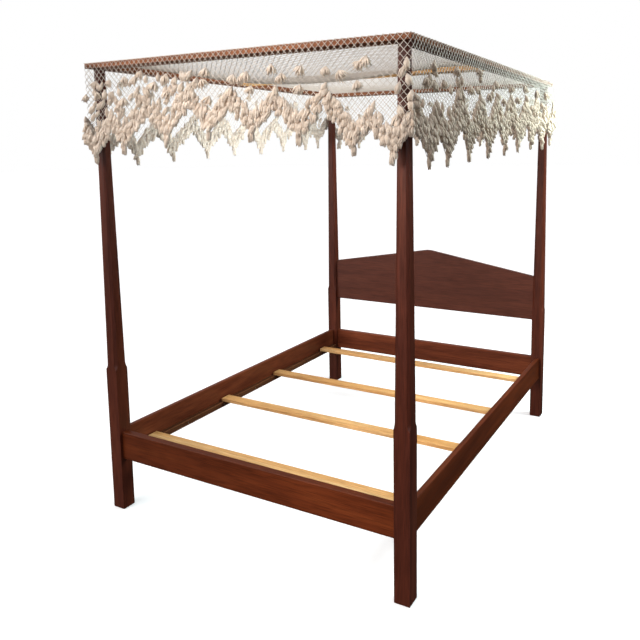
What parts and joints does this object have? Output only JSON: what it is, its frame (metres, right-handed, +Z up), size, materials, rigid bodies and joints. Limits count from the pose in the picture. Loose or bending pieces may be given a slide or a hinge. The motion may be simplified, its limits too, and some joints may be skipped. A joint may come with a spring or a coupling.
{
  "type": "four poster canopy bed",
  "caption": "Queen-size pencil-post bed with square-to-octagon tapered posts, gabled headboard, loose slats, flat tester frame and a tufted fishnet canopy.",
  "frame": {"origin": "on the floor, at the centre of the bed's footprint", "axes": "+X to the bed's right side seen from the foot, +Y from the foot to the headboard, +Z up"},
  "size_m": [1.6836, 2.1976, 2.1648],
  "materials": {
    "stained_wood": "reddish-brown mahogany stain under a satin varnish",
    "tester_wood": "same stain, thinner, satin",
    "pine": "bare planed pine",
    "net_cotton": "knotted natural cotton cord",
    "tuft_cotton": "soft cut cotton yarn",
    "steel": "plain zinc-plated steel"
  },
  "bodies": {
    "frame": {"post_foot_left": "stained_wood", "post_foot_right": "stained_wood", "post_head_left": "stained_wood", "post_head_right": "stained_wood", "foot_rail": "stained_wood", "head_rail": "stained_wood", "side_rail_left": "stained_wood", "side_rail_right": "stained_wood", "headboard": "stained_wood", "ledger_left": "stained_wood", "ledger_right": "stained_wood", "hook_plates": "steel", "slotted_plates": "steel", "bracket_screws": "steel", "ledger_screws": "steel", "post_pins": "steel"},
    "tester": {"tester_foot_board": "tester_wood", "tester_head_board": "tester_wood", "tester_left_board": "tester_wood", "tester_right_board": "tester_wood", "tester_cross_slat": "pine", "canopy_top_net": "net_cotton", "canopy_foot_net": "net_cotton", "canopy_head_net": "net_cotton", "canopy_left_net": "net_cotton", "canopy_right_net": "net_cotton", "tuft_band_foot": "tuft_cotton", "tuft_band_head": "tuft_cotton", "tuft_band_left": "tuft_cotton", "tuft_band_right": "tuft_cotton", "tassels_foot": "tuft_cotton", "tassels_head": "tuft_cotton", "tassels_left": "tuft_cotton", "tassels_right": "tuft_cotton"},
    "slat_1": {"slat_1": "pine"},
    "slat_2": {"slat_2": "pine"},
    "slat_3": {"slat_3": "pine"},
    "slat_4": {"slat_4": "pine"}
  },
  "joints": [
    {"name": "tester_lift", "type": "slide", "parent": "frame", "child": "tester", "axis": [0, 0, 1], "range_m": [0, 0.06]},
    {"name": "slat_1_lift", "type": "slide", "parent": "frame", "child": "slat_1", "axis": [0, 0, 1], "range_m": [0, 0.13]},
    {"name": "slat_2_lift", "type": "slide", "parent": "frame", "child": "slat_2", "axis": [0, 0, 1], "range_m": [0, 0.13]},
    {"name": "slat_3_lift", "type": "slide", "parent": "frame", "child": "slat_3", "axis": [0, 0, 1], "range_m": [0, 0.13]},
    {"name": "slat_4_lift", "type": "slide", "parent": "frame", "child": "slat_4", "axis": [0, 0, 1], "range_m": [0, 0.13]}
  ]
}
